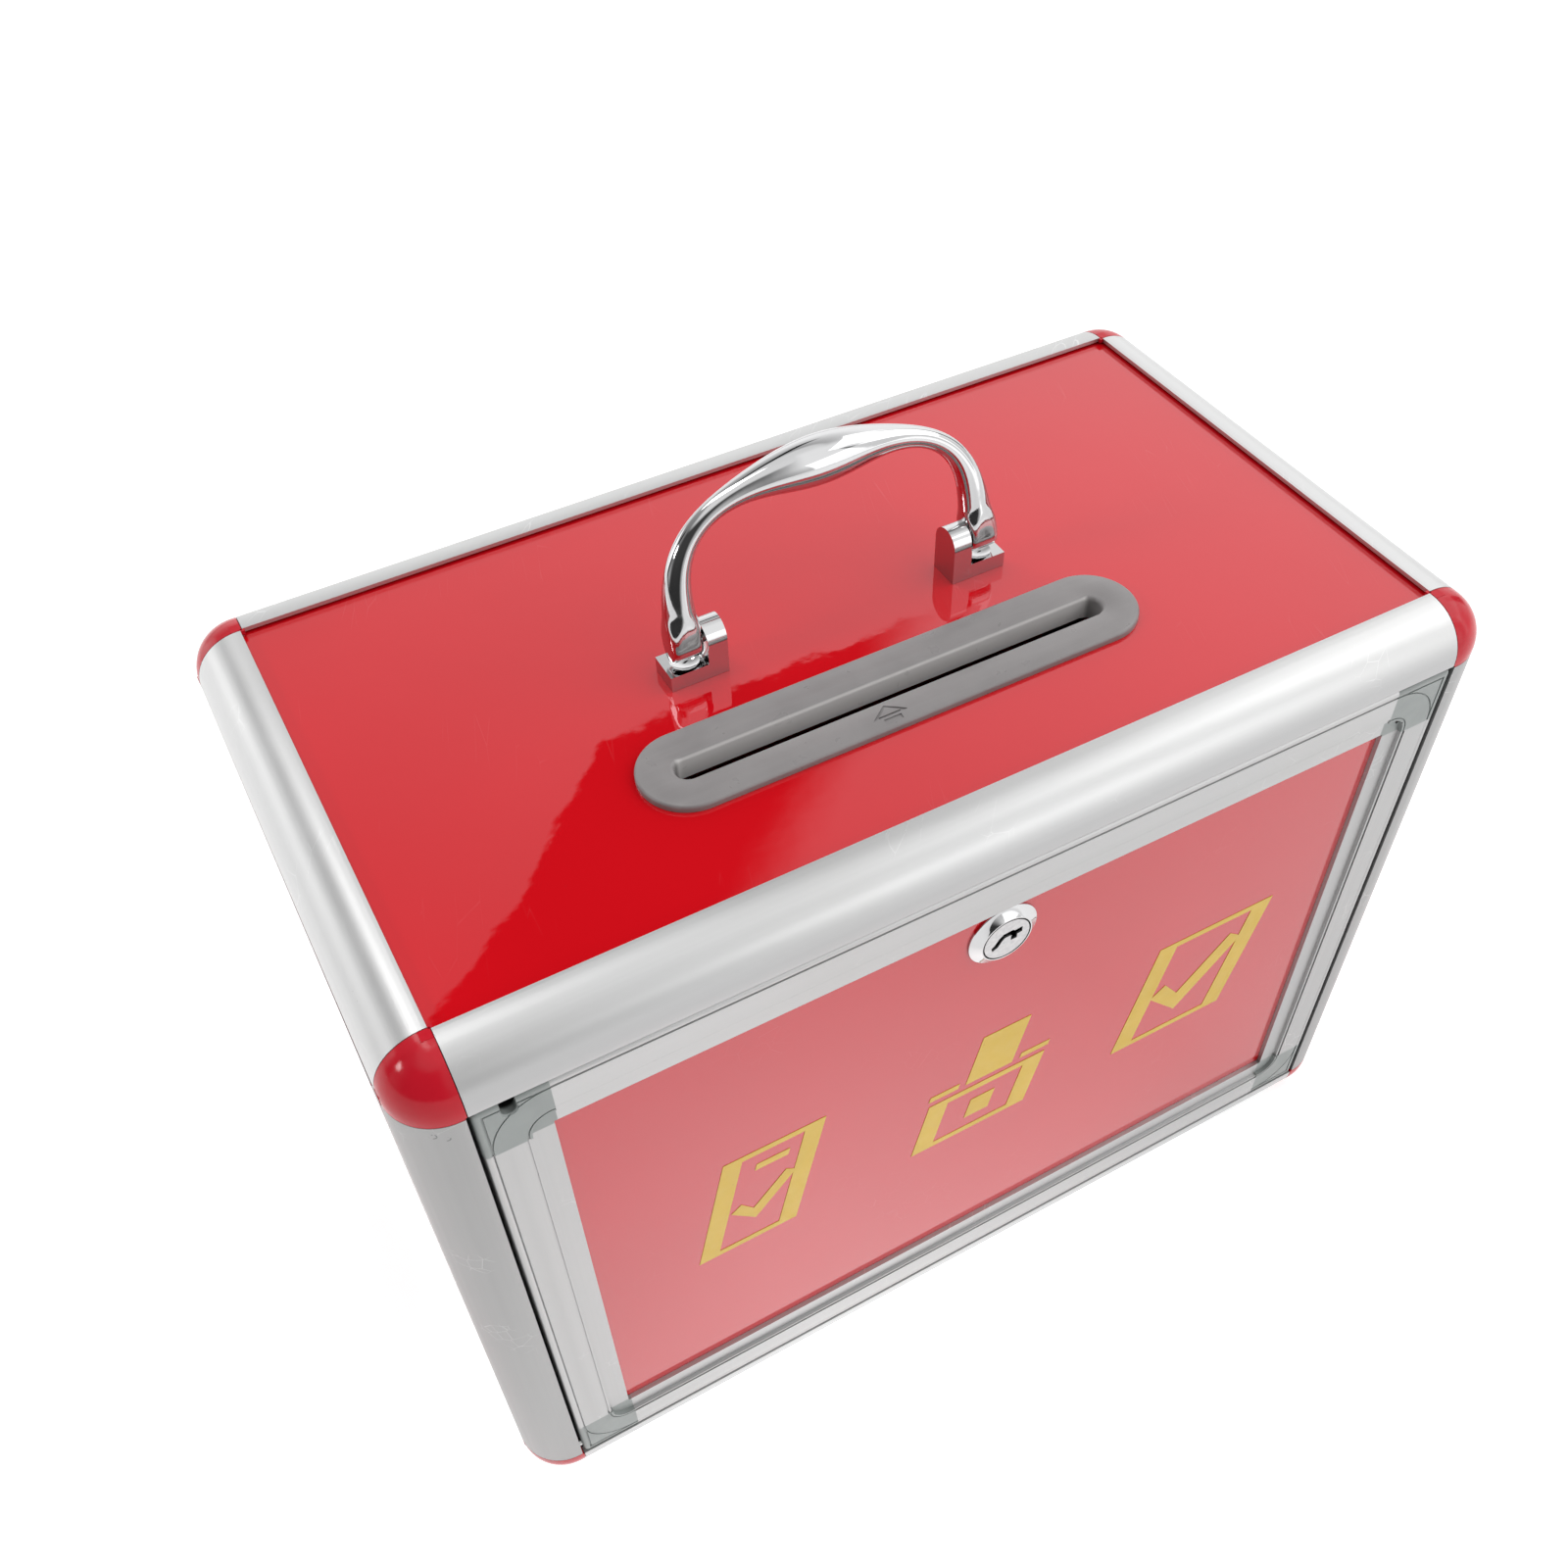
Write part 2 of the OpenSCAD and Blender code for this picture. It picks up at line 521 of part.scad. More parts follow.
module lock_housing() color("lightgray") translate([0, py0, lock_z]) rotate([-90, 0, 0]) difference() {
  union() {
    translate([0, 0, -0.65]) cylinder(d = lock_d, h = 0.6, $fn = 128);
    translate([0, 0, -2.9]) cylinder(d1 = 18, d2 = lock_d, h = 2.25, $fn = 128);
    translate([0, 0, -0.1]) cylinder(d = 18.8, h = 15, $fn = 96);
  }
  translate([0, 0, -4]) cylinder(d = plug_d + 0.1, h = 20, $fn = 96);
}
module lock_nut() color("lightgray") translate([0, py0 + door_panel_t + 0.05, lock_z]) rotate([-90, 0, 0]) difference() {
  cylinder(d = 26, h = 3.5, $fn = 6);
  translate([0, 0, -1]) cylinder(d = 18.86, h = 6, $fn = 96);
}
module lock_plug() color("silver") translate([0, py0, lock_z]) rotate([-90, 0, 0]) difference() {
  union() {
    translate([0, 0, -2.8]) cylinder(d = plug_d, h = 17.6, $fn = 96);
    translate([-3.5, -3.5, 14.7]) cube([7, 7, 2.4]);
    // low dome beside the keyway
    translate([-0.6, 2.1, -1.55]) sphere(r = 1.45, $fn = 48);
  }
  translate([0, 0, 10]) cylinder(r = 1.52, h = 10, $fn = 32);
  // wavy keyway: an arch over the middle with a step at each end
  translate([0, 0, -4]) linear_extrude(8)
    polygon([[-5.4, 1.7], [-4.3, 0.7], [-2.8, -1.6], [-1.4, -2.8], [1.8, -3.1], [2.6, -2.5], [5.3, -2.8],
             [5.3, -0.4], [2.4, -0.1], [0.9, -0.9], [-0.8, -0.8], [-1.9, 0.3], [-3.0, 2.3], [-4.9, 3.3]]);
  translate([1.4, -0.4, -4]) cube([2.2, 1.9, 8]);
}
module lock_cam() color("lightgray") translate([0, py0 + 14.95, lock_z]) rotate([-90, 0, 0]) difference() {
  union() {
    cylinder(r = 8, h = 2, $fn = 96);
    translate([-cam_reach + 3, -6.5, 0]) cube([cam_reach - 3, 13, 2]);
    translate([-cam_reach + 3, -3.5, 0]) cube([3, 7, 2]);
    translate([-cam_reach + 6.5, 0, 0]) cylinder(r = 6.5, h = 2, $fn = 96);
  }
  translate([-3.55, -3.55, -1]) cube([7.1, 7.1, 4]);
}
module cam_screw() color("gray") translate([0, py0 + 17.15, lock_z]) rotate([-90, 0, 0]) {
  cylinder(d = 10.5, h = 0.8, $fn = 64);
  difference() {
    translate([0, 0, 0.8]) cylinder(d = 7, h = 2.2, $fn = 64);
    translate([-3, -0.5, 1.7]) cube([6, 1, 2]);
    translate([-0.5, -3, 1.7]) cube([1, 6, 2]);
  }
  translate([0, 0, -6]) cylinder(d = 3, h = 6.2, $fn = 32);
}

// ---- drawing --------------------------------------------------------
rail_top_front();
rail_top_back();
rail_top_left();
rail_top_right();
rail_bottom_front();
rail_bottom_back();
rail_bottom_left();
rail_bottom_right();
post_front_left();
post_front_right();
post_back_left();
post_back_right();
cap_top_front_left();
cap_top_front_right();
cap_top_back_left();
cap_top_back_right();
cap_bottom_front_left();
cap_bottom_front_right();
cap_bottom_back_left();
cap_bottom_back_right();
top_panel();
bottom_panel();
left_panel();
right_panel();
back_panel();
slot_bezel();
handle_mount_left();
handle_mount_right();
mount_screws();
mount_washers();
handle();
handle_pins();
door_stile_left();
door_stile_right();
door_rail_top();
door_rail_bottom();
door_corner_top_left();
door_corner_top_right();
door_corner_bottom_left();
door_corner_bottom_right();
door_panel();
door_marks();
door_hinge_pins();
lock_housing();
lock_nut();
lock_plug();
lock_cam();
cam_screw();
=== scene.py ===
import math
import random

import bpy
import bmesh
from mathutils import Matrix, Vector


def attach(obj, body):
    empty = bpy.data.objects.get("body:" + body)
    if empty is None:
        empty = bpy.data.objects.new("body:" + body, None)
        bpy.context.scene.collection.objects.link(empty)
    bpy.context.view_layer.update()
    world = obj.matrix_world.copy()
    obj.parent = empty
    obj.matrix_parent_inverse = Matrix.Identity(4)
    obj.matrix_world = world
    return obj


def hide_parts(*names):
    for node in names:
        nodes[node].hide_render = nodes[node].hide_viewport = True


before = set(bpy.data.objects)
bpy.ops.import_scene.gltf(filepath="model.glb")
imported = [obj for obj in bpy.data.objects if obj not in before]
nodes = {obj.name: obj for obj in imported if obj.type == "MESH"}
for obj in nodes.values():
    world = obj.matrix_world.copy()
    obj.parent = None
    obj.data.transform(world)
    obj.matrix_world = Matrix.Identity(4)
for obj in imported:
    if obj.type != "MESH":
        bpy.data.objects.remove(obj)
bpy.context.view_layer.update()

random.seed(7)
scene = bpy.context.scene

# ---------------------------------------------------------------- sizes
TOP = 0.2628          # outer face of the top panel
PIV = TOP + 0.0123    # handle pivot
LEAN = math.radians(14.0)

# --------------------------------------------------------------- camera
cam_data = bpy.data.cameras.new("camera")
cam = bpy.data.objects.new("camera", cam_data)
scene.collection.objects.link(cam)
scene.camera = cam


def rodrigues(v):
    v = Vector(v)
    return Matrix.Rotation(v.length, 3, v.normalized())


R = rodrigues((2.3527, -0.6143, 0.2024))      # object to camera, x right, y down, z forward
T = Vector((-0.2748, 0.1451, 1.1507)) * 0.326
C = -(R.transposed() @ T) + Vector((-0.163, -0.085, 0.265))
m = Matrix((R[0], -Vector(R[1]), -Vector(R[2]))).transposed().to_4x4()
m.translation = C
cam.matrix_world = m
F_PX, CX, CY = 1570.0, 811.6, 852.4
cam_data.sensor_fit = "HORIZONTAL"
cam_data.sensor_width = 36.0
cam_data.lens = 36.0 * F_PX / 1600.0
cam_data.shift_x = (800.0 - CX) / 1600.0
cam_data.shift_y = (CY - 800.0) / 1600.0
cam_data.clip_start, cam_data.clip_end = 0.02, 40.0
cam_data.dof.use_dof = False


# ------------------------------------------------------- material tools
class Mat:
    """Small helper around a node material."""

    def __init__(self, name):
        self.m = bpy.data.materials.new(name)
        self.m.use_nodes = True
        self.t = self.m.node_tree
        self.t.nodes.clear()
        self.out = self.n("ShaderNodeOutputMaterial")
        self.b = self.n("ShaderNodeBsdfPrincipled")
        self.link(self.b.outputs["BSDF"], self.out.inputs["Surface"])
        self.co = self.n("ShaderNodeTexCoord").outputs["Object"]

    def n(self, kind, **kw):
        x = self.t.nodes.new(kind)
        for k, v in kw.items():
            setattr(x, k, v)
        return x

    def link(self, a, b):
        self.t.links.new(a, b)

    def set(self, **kw):
        for k, v in kw.items():
            self.b.inputs[k.replace("_", " ")].default_value = v

    def mapped(self, scale, offset=(0, 0, 0), source=None):
        x = self.n("ShaderNodeMapping")
        x.inputs["Scale"].default_value = scale
        x.inputs["Location"].default_value = offset
        self.link(source or self.co, x.inputs["Vector"])
        return x.outputs["Vector"]

    def noise(self, scale, detail=2.0, rough=0.5, vec=None, dist=0.0):
        x = self.n("ShaderNodeTexNoise")
        x.inputs["Scale"].default_value = scale
        x.inputs["Detail"].default_value = detail
        x.inputs["Roughness"].default_value = rough
        x.inputs["Distortion"].default_value = dist
        self.link(vec or self.co, x.inputs["Vector"])
        return x.outputs["Fac"]

    def voronoi(self, scale, vec=None, feature="F1", rand=1.0):
        x = self.n("ShaderNodeTexVoronoi", feature=feature)
        x.inputs["Scale"].default_value = scale
        x.inputs["Randomness"].default_value = rand
        self.link(vec or self.co, x.inputs["Vector"])
        return x.outputs["Distance"]

    def ramp(self, fac, *stops):
        x = self.n("ShaderNodeValToRGB")
        e = x.color_ramp.elements
        while len(e) < len(stops):
            e.new(0.5)
        for el, (p, c) in zip(e, stops):
            el.position = p
            el.color = (c, c, c, 1) if isinstance(c, (int, float)) else tuple(c) + (1,)
        self.link(fac, x.inputs["Fac"])
        return x.outputs["Color"]

    def math(self, op, a, b=None, clamp=False):
        x = self.n("ShaderNodeMath", operation=op, use_clamp=clamp)
        for i, v in enumerate((a, b)):
            if v is None:
                continue
            if isinstance(v, (int, float)):
                x.inputs[i].default_value = v
            else:
                self.link(v, x.inputs[i])
        return x.outputs[0]

    def mix(self, fac, a, b, blend="MIX"):
        x = self.n("ShaderNodeMix", data_type="RGBA", blend_type=blend)
        for key, v in ((0, fac), (6, a), (7, b)):
            s = x.inputs[key]
            if isinstance(v, (int, float)):
                s.default_value = v
            elif isinstance(v, tuple):
                s.default_value = v if len(v) == 4 else v + (1,)
            else:
                self.link(v, s)
        return x.outputs[2]

    def maprange(self, v, a, b, c, d):
        x = self.n("ShaderNodeMapRange")
        for i, k in enumerate((a, b, c, d), 1):
            x.inputs[i].default_value = k
        self.link(v, x.inputs[0])
        return x.outputs[0]

    def bump(self, height, strength, distance, normal=None):
        x = self.n("ShaderNodeBump")
        x.inputs["Strength"].default_value = strength
        x.inputs["Distance"].default_value = distance
        self.link(height, x.inputs["Height"])
        if normal:
            self.link(normal, x.inputs["Normal"])
        return x.outputs["Normal"]

    def base(self, c):
        self.link(c, self.b.inputs["Base Color"])

    def rough(self, c):
        self.link(c, self.b.inputs["Roughness"])

    def normal(self, c):
        self.link(c, self.b.inputs["Normal"])


def scratches(k, scale, width, seed, stretch=(1, 0.04, 1), turn=(0, 0, 0.7)):
    """Mask of sparse fine straight scratches, 1 on a scratch."""
    mp = k.n("ShaderNodeMapping")
    mp.inputs["Rotation"].default_value = turn
    mp.inputs["Location"].default_value = (seed, seed * 0.7, seed * 0.3)
    k.link(k.co, mp.inputs["Vector"])
    st = k.n("ShaderNodeMapping")
    st.inputs["Scale"].default_value = stretch
    k.link(mp.outputs["Vector"], st.inputs["Vector"])
    lines = k.voronoi(scale, st.outputs["Vector"], feature="DISTANCE_TO_EDGE")
    thin = k.maprange(lines, 0.0, width, 1.0, 0.0)
    where = k.noise(38.0, 2.0, 0.5, vec=mp.outputs["Vector"])
    return k.math("MULTIPLY", thin, k.maprange(where, 0.60, 0.68, 0.0, 1.0))


def aluminium(name, axis, tone=0.78, rough=0.36):
    """Satin anodised extrusion; drawing lines run along axis; tone sets its brightness, and the copies' different
    tones are painted light and shade.
    """
    k = Mat(name)
    s = [900.0, 900.0, 900.0]
    s[axis] = 5.0
    lines = k.noise(1.0, 3.0, 0.6, vec=k.mapped(tuple(s)))
    wide = [160.0, 160.0, 160.0]
    wide[axis] = 2.0
    bands = k.noise(1.0, 2.0, 0.5, vec=k.mapped(tuple(wide)))
    cloud = k.noise(14.0, 3.0, 0.55)
    c = k.mix(k.maprange(cloud, 0.3, 0.7, 0.0, 1.0), (tone * 0.965, tone * 0.965, tone * 0.96), (tone, tone * 1.003, tone * 1.003))
    c = k.mix(k.maprange(lines, 0.35, 0.65, 0.10, 0.0), c, (tone * 0.82, tone * 0.82, tone * 0.82))
    specks = k.maprange(k.voronoi(420.0), 0.05, 0.085, 1.0, 0.0)
    sparse = k.maprange(k.noise(55.0, 2.0), 0.66, 0.70, 0.0, 0.55)
    c = k.mix(k.math("MULTIPLY", specks, sparse), c, (0.30, 0.29, 0.28))
    scr = scratches(k, 210.0, 0.02, 3.1 + axis)
    c = k.mix(k.math("MULTIPLY", scr, 0.35), c, (0.93, 0.93, 0.93))
    for (px, py, pz), rad in (((-0.1716, -0.1000, 0.2436), 0.0009), ((-0.1686, -0.1013, 0.2418), 0.0007)) if axis == 2 else ():
        # a small half-moon scuff
        q = k.n("ShaderNodeVectorMath", operation="DISTANCE")
        k.link(k.co, q.inputs[0])
        q.inputs[1].default_value = (px, py, pz)
        ring = k.math("ABSOLUTE", k.math("SUBTRACT", q.outputs["Value"], rad))
        ring = k.maprange(ring, 0.00008, 0.00028, 0.8, 0.0)
        part = k.maprange(k.noise(700.0, 1.0), 0.42, 0.50, 0.0, 1.0)
        c = k.mix(k.math("MULTIPLY", ring, part), c, (0.12, 0.12, 0.12))
    if name == "aluminium_along_x":
        # painted shade: the front of the upper front extrusion is darkened in its colour towards its lower edge
        sep = k.n("ShaderNodeSeparateXYZ")
        k.link(k.co, sep.inputs[0])
        lower_edge_painted_shade = k.math("MULTIPLY", k.maprange(sep.outputs[2], 0.2590, 0.2520, 0.0, 0.50), k.maprange(sep.outputs[1], -0.0985, -0.0960, 1.0, 0.0))
        lower_edge_painted_shade = k.math("MULTIPLY", lower_edge_painted_shade, k.maprange(sep.outputs[2], 0.2300, 0.2400, 0.0, 1.0))
        c = k.mix(lower_edge_painted_shade, c, (tone * 0.62, tone * 0.62, tone * 0.63))
    k.base(c)
    r = k.maprange(bands, 0.3, 0.7, rough - 0.035, rough + 0.05)
    r = k.math("ADD", r, k.math("MULTIPLY", k.maprange(cloud, 0.45, 0.75, 0.0, 1.0), 0.05))
    r = k.math("SUBTRACT", r, k.math("MULTIPLY", scr, 0.10))
    k.rough(r)
    k.set(Metallic=0.88, IOR=1.5)
    n1 = k.bump(bands, 0.10, 0.0002)
    n2 = k.bump(lines, 0.16, 0.00012, n1)
    k.normal(k.bump(scr, 0.12, 0.00008, n2))
    return k.m


def red_panel(name, rough=0.035, peel=0.05, seed=0.0, depth=1.0):
    """High-gloss red laminate with faint orange peel, dust and hairline scratches; depth below 1 darkens a copy as
    painted shade.
    """
    k = Mat(name)
    cloud = k.noise(9.0, 2.0, 0.5, vec=k.mapped((1, 1, 1), (seed, seed, 0)))
    c = k.mix(k.maprange(cloud, 0.3, 0.7, 0.0, 1.0), tuple(q * depth for q in (0.575, 0.0034, 0.0080)), tuple(q * depth for q in (0.618, 0.0042, 0.0100)))
    dust = k.maprange(k.voronoi(300.0, vec=k.mapped((1, 1, 1), (seed, 1.3, 2.2))), 0.03, 0.06, 1.0, 0.0)
    where = k.maprange(k.noise(42.0, 2.0, 0.5, vec=k.mapped((1, 1, 1), (seed + 3, 0, 0))), 0.64, 0.70, 0.0, 0.5)
    dust = k.math("MULTIPLY", dust, where)
    c = k.mix(dust, c, (0.34, 0.010, 0.016))
    scr = scratches(k, 170.0, 0.012, 5.0 + seed, turn=(0.3, 0.9, 0.5))
    c = k.mix(k.math("MULTIPLY", scr, 0.12), c, (0.72, 0.14, 0.16))
    k.base(c)
    r = k.maprange(k.noise(24.0, 3.0, 0.6), 0.3, 0.75, rough * 0.7, rough * 1.7)
    r = k.math("ADD", r, k.math("MULTIPLY", scr, 0.16))
    r = k.math("ADD", r, k.math("MULTIPLY", dust, 0.30))
    k.rough(r)
    k.set(IOR=1.75)
    k.b.inputs["Specular Tint"].default_value = (1.0, 0.94, 1.0, 1.0)
    fine = k.noise(620.0, 1.0, 0.4)
    mid = k.noise(170.0, 1.0, 0.4)
    slow = k.noise(40.0, 1.0, 0.4)
    n1 = k.bump(slow, peel * 0.8, 0.0010)
    n2 = k.bump(mid, peel * 1.6, 0.0001, n1)
    k.normal(k.bump(fine, peel * 0.2, 0.00008, n2))
    return k.m


def painted_recess_shade(k, c, y0, y1, y2=None, notch=None):
    """Painted shade: darken what lies deeper than y0 behind the door face, the inside of a notch or a keyway."""
    sep = k.n("ShaderNodeSeparateXYZ")
    k.link(k.co, sep.inputs[0])
    m = k.maprange(sep.outputs[1], y0, y1, 0.0, 1.0)
    if y2:
        m = k.math("MULTIPLY", m, k.maprange(sep.outputs[1], y2, y2 + 0.0005, 1.0, 0.0))
    if notch:
        qx = k.math("SUBTRACT", sep.outputs[0], notch[0])
        qz = k.math("MINIMUM", k.math("SUBTRACT", sep.outputs[2], notch[1]), 0.0)
        d = k.math("SQRT", k.math("ADD", k.math("MULTIPLY", qx, qx), k.math("MULTIPLY", qz, qz)))
        m = k.math("MULTIPLY", m, k.maprange(d, notch[2], notch[2] + 0.0002, 1.0, 0.0))
    return k.mix(m, c, (0.010, 0.010, 0.010))


def about_lock(k):
    """Distance from the axis of the lock."""
    sep = k.n("ShaderNodeSeparateXYZ")
    k.link(k.mapped((1, 1, 1), (0, 0, -0.2144)), sep.inputs[0])
    return k.math("SQRT", k.math("ADD", k.math("MULTIPLY", sep.outputs[0], sep.outputs[0]), k.math("MULTIPLY", sep.outputs[2], sep.outputs[2]))), sep.outputs[1]


def cap_plastic():
    k = Mat("cap_red_plastic")
    cloud = k.noise(60.0, 3.0, 0.6)
    c = k.mix(k.maprange(cloud, 0.3, 0.7, 0.0, 1.0), (0.465, 0.0075, 0.018), (0.54, 0.0100, 0.023))
    scuff = k.maprange(k.noise(130.0, 4.0, 0.75), 0.66, 0.78, 0.0, 0.35)
    c = k.mix(scuff, c, (0.60, 0.10, 0.12))
    k.base(c)
    r = k.maprange(k.noise(210.0, 3.0, 0.6), 0.3, 0.7, 0.12, 0.19)
    k.rough(k.math("ADD", r, k.math("MULTIPLY", scuff, 0.3)))
    k.set(IOR=1.34)
    n1 = k.bump(k.noise(95.0, 2.0, 0.5), 0.10, 0.0006)
    k.normal(k.bump(k.noise(900.0, 2.0, 0.5), 0.12, 0.00010, n1))
    return k.m


def connector_plastic():
    k = Mat("connector_grey_plastic")
    cloud = k.noise(70.0, 3.0, 0.6)
    c = k.mix(k.maprange(cloud, 0.3, 0.7, 0.0, 1.0), (0.245, 0.266, 0.259), (0.278, 0.300, 0.293))
    scuff = k.maprange(k.noise(260.0, 4.0, 0.75), 0.66, 0.76, 0.0, 0.5)
    c = k.mix(scuff, c, (0.46, 0.48, 0.47))
    # painted shade inside the U notch of the corner connector
    k.base(painted_recess_shade(k, c, -0.1000, -0.0990, notch=(-0.1523, 0.2433, 0.0026)))
    k.rough(k.maprange(k.noise(180.0, 2.0, 0.6), 0.3, 0.7, 0.34, 0.46))
    k.set(IOR=1.5)
    n1 = k.bump(k.noise(60.0, 2.0, 0.5), 0.12, 0.0008)
    k.normal(k.bump(k.noise(1300.0, 2.0, 0.5), 0.12, 0.00010, n1))
    return k.m


def bezel_plastic():
    k = Mat("bezel_grey_plastic")
    cloud = k.noise(34.0, 3.0, 0.6)
    c = k.mix(k.maprange(cloud, 0.3, 0.7, 0.0, 1.0), (0.210, 0.198, 0.199), (0.256, 0.242, 0.242))
    flow = k.noise(1.0, 3.0, 0.6, vec=k.mapped((18.0, 260.0, 260.0)))
    c = k.mix(k.maprange(flow, 0.45, 0.75, 0.0, 0.12), c, (0.37, 0.36, 0.35))
    # painted light: the walls of the slot are lightened to a pale grey in their colour
    sep = k.n("ShaderNodeSeparateXYZ")
    k.link(k.co, sep.inputs[0])
    off = k.math("ABSOLUTE", k.math("ADD", sep.outputs[1], 0.0372))
    slot_wall_painted_light = k.maprange(off, 0.0041, 0.0046, 0.8, 0.0)
    along = k.math("ABSOLUTE", sep.outputs[0])
    slot_wall_painted_light = k.math("MULTIPLY", slot_wall_painted_light, k.maprange(along, 0.0700, 0.0712, 1.0, 0.0))
    c = k.mix(slot_wall_painted_light, c, (0.72, 0.70, 0.69))
    k.base(c)
    k.rough(k.maprange(k.noise(150.0, 3.0, 0.6), 0.3, 0.7, 0.26, 0.38))
    k.set(IOR=1.5)
    n1 = k.bump(flow, 0.06, 0.00020)
    k.normal(k.bump(k.noise(1500.0, 2.0, 0.5), 0.14, 0.00010, n1))
    return k.m


def chrome(name="chrome", rough=0.045, tone=0.60):
    k = Mat(name)
    c = k.mix(k.maprange(k.noise(50.0, 2.0), 0.3, 0.7, 0.0, 1.0), (tone * 0.96, tone * 0.96, tone * 0.97), (tone, tone, tone * 1.005))
    scr = scratches(k, 300.0, 0.015, 8.0, turn=(0.4, 0.2, 1.1))
    c = k.mix(k.math("MULTIPLY", scr, 0.25), c, (0.55, 0.55, 0.55))
    # painted shade: the inside of the ring around the lock core is darkened in its colour, deeper than its front
    rr, yy = about_lock(k)
    ring = k.math("MULTIPLY", k.maprange(rr, 0.00840, 0.00850, 1.0, 0.0), k.maprange(yy, -0.10170, -0.10155, 0.0, 1.0))
    c = k.mix(ring, c, (0.015, 0.015, 0.015))
    k.base(c)
    smear = k.maprange(k.noise(85.0, 4.0, 0.65), 0.45, 0.75, 0.0, 0.07)
    k.rough(k.math("ADD", k.math("ADD", smear, rough), k.math("MULTIPLY", scr, 0.15)))
    k.set(Metallic=1.0)
    n1 = k.bump(k.noise(140.0, 2.0, 0.5), 0.05, 0.0005)
    k.normal(k.bump(scr, 0.05, 0.00005, n1))
    return k.m


def zinc():
    k = Mat("zinc_steel")
    v = k.noise(420.0, 3.0, 0.6)
    c = k.mix(k.maprange(v, 0.35, 0.65, 0.0, 1.0), (0.52, 0.52, 0.53), (0.68, 0.68, 0.67))
    k.base(c)
    k.rough(k.maprange(k.noise(300.0, 3.0, 0.6), 0.3, 0.7, 0.22, 0.38))
    k.set(Metallic=1.0)
    k.normal(k.bump(v, 0.12, 0.00010))
    return k.m


def plug_metal():
    """Satin face of the lock core with fine turning marks about its axis."""
    k = Mat("plug_satin_metal")
    rr, yy = about_lock(k)
    rings = k.math("SINE", k.math("MULTIPLY", rr, 26000.0))
    v = k.noise(700.0, 3.0, 0.6)
    c = k.mix(k.maprange(v, 0.35, 0.65, 0.0, 1.0), (0.50, 0.50, 0.51), (0.60, 0.60, 0.60))
    # painted shade: the rim of the core beyond 7.88 mm from its axis is darkened, in the gap around the core
    c = k.mix(k.maprange(rr, 0.00788, 0.00794, 0.0, 1.0), c, (0.02, 0.02, 0.02))
    # painted shade inside the keyway
    k.base(painted_recess_shade(k, c, -0.1014, -0.1008, -0.0945))
    k.rough(k.maprange(k.noise(500.0, 3.0, 0.6), 0.3, 0.7, 0.30, 0.42))
    k.set(Metallic=0.95)
    n1 = k.bump(rings, 0.06, 0.00006)
    k.normal(k.bump(v, 0.12, 0.00008, n1))
    return k.m


def vinyl():
    k = Mat("vinyl_yellow")
    cloud = k.noise(40.0, 3.0, 0.6)
    c = k.mix(k.maprange(cloud, 0.3, 0.7, 0.0, 1.0), (0.58, 0.385, 0.036), (0.64, 0.430, 0.050))
    specks = k.maprange(k.voronoi(260.0), 0.05, 0.10, 1.0, 0.0)
    where = k.maprange(k.noise(60.0, 2.0), 0.62, 0.68, 0.0, 0.5)
    c = k.mix(k.math("MULTIPLY", specks, where), c, (0.36, 0.22, 0.06))
    k.base(c)
    k.rough(k.maprange(k.noise(220.0, 3.0, 0.6), 0.3, 0.7, 0.36, 0.50))
    k.set(IOR=1.48)
    k.normal(k.bump(k.noise(700.0, 2.0, 0.5), 0.10, 0.00010))
    return k.m


# painted light and shade: the five copies of one anodised finish get different tones by how light falls on them, the
# posts darkest
alu_x = aluminium("aluminium_along_x", 0, tone=0.57)
alu_y = aluminium("aluminium_along_y", 1, tone=0.62)
alu_z = aluminium("aluminium_along_z", 2, tone=0.35)
door_x = aluminium("aluminium_door_x", 0, tone=0.50, rough=0.40)
door_z = aluminium("aluminium_door_z", 2, tone=0.46, rough=0.40)
red_top = red_panel("red_gloss_top", rough=0.012, peel=0.060)
# painted shade: the door's copy of the red laminate is darkened by depth 0.87
red_door = red_panel("red_gloss_door", rough=0.060, peel=0.030, seed=2.0, depth=0.87)
red_side = red_panel("red_gloss_side", rough=0.040, peel=0.050, seed=4.0)
cap_mat = cap_plastic()
conn_mat = connector_plastic()
bezel_mat = bezel_plastic()
chrome_mat = chrome()
zinc_mat = zinc()
plug_mat = plug_metal()
vinyl_mat = vinyl()

for name, o in nodes.items():
    if name.startswith("door_rail"):
        mat = door_x
    elif name.startswith("door_stile"):
        mat = door_z
    elif name.startswith(("rail_top_front", "rail_top_back", "rail_bottom_front", "rail_bottom_back")):
        mat = alu_x
    elif name.startswith(("rail_top_left", "rail_top_right", "rail_bottom_left", "rail_bottom_right")):
        mat = alu_y
    elif name.startswith("post_"):
        mat = alu_z
    elif name.startswith("cap_"):
        mat = cap_mat
    elif name == "top_panel":
        mat = red_top
    elif name == "door_panel":
        mat = red_door
    elif name.endswith("_panel"):
        mat = red_side
    elif name == "slot_bezel":
        mat = bezel_mat
    elif name.startswith("door_corner"):
        mat = conn_mat
    elif name == "door_marks":
        mat = vinyl_mat
    elif name == "lock_plug":
        mat = plug_mat
    elif name in ("handle", "handle_mount_left", "handle_mount_right", "lock_housing"):
        mat = chrome_mat
    else:
        mat = zinc_mat
    o.data.materials.clear()
    o.data.materials.append(mat)


